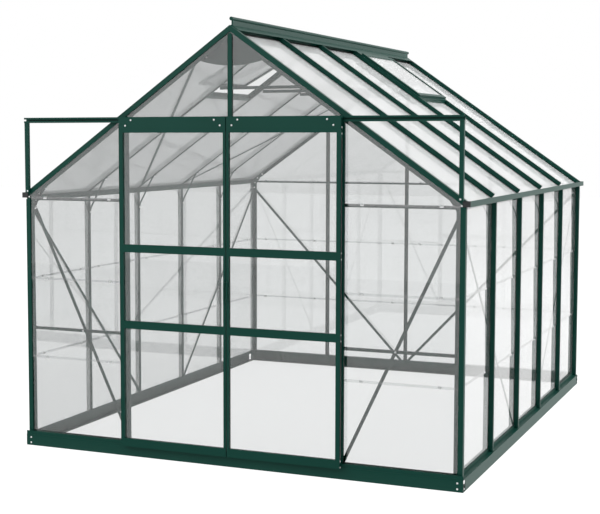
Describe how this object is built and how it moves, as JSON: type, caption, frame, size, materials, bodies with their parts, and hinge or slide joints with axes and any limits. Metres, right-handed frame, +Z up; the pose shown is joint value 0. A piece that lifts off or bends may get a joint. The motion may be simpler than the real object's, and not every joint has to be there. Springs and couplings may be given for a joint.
{
  "type": "glass greenhouse with sliding doors",
  "caption": "Walk-in glass greenhouse with a pitched roof, a green aluminium frame on a base, sliding front doors, gutters, a ridge and roof vents.",
  "frame": {"origin": "on the ground under the middle of the overall box", "axes": "+X to the right along the door front, +Y from the door front to the back gable, +Z up"},
  "size_m": [2.601, 3.22, 2.397],
  "materials": {
    "green_paint": "dark green powder coat, satin",
    "glass": "clear 3 mm horticultural glass",
    "end_cap_plastic": "dark grey moulded",
    "glide_plastic": "black nylon",
    "roller_plastic": "black nylon wheel"
  },
  "bodies": {
    "frame": {"apex_gussets": "green_paint", "back_glass": "glass", "back_rafters": "green_paint", "back_tie": "green_paint", "back_wall_bars": "green_paint", "base_back": "green_paint", "base_front": "green_paint", "base_left": "green_paint", "base_right": "green_paint", "collar_ties": "green_paint", "corner_gussets": "green_paint", "corner_posts": "green_paint", "door_header": "green_paint", "door_posts": "green_paint", "door_track": "green_paint", "front_glass": "glass", "front_rafters": "green_paint", "front_rails": "green_paint", "gutter_end_caps": "end_cap_plastic", "king_post": "green_paint", "knee_struts": "green_paint", "left_eaves": "green_paint", "left_roof_bars": "green_paint", "left_roof_glass": "glass", "left_vent": "green_paint", "left_wall_bars": "green_paint", "left_wall_glass": "glass", "ridge": "green_paint", "right_eaves": "green_paint", "right_roof_bars": "green_paint", "right_roof_glass": "glass", "right_vent": "green_paint", "right_wall_bars": "green_paint", "right_wall_glass": "glass", "roof_braces": "green_paint", "sills": "green_paint", "track_supports": "green_paint", "vent_glass": "glass", "vent_sills": "green_paint", "wall_braces": "green_paint"},
    "left_door": {"left_door_glass": "glass", "left_door_guides": "glide_plastic", "left_door_handle": "green_paint", "left_door_rails": "green_paint", "left_door_rollers": "roller_plastic", "left_door_stiles": "green_paint"},
    "right_door": {"right_door_glass": "glass", "right_door_guides": "glide_plastic", "right_door_handle": "green_paint", "right_door_rails": "green_paint", "right_door_rollers": "roller_plastic", "right_door_stiles": "green_paint"}
  },
  "joints": [
    {"name": "left_door_slide", "type": "slide", "parent": "frame", "child": "left_door", "axis": [-1, 0, 0], "range_m": [0, 0.6]},
    {"name": "right_door_slide", "type": "slide", "parent": "frame", "child": "right_door", "axis": [1, 0, 0], "range_m": [0, 0.6]}
  ]
}
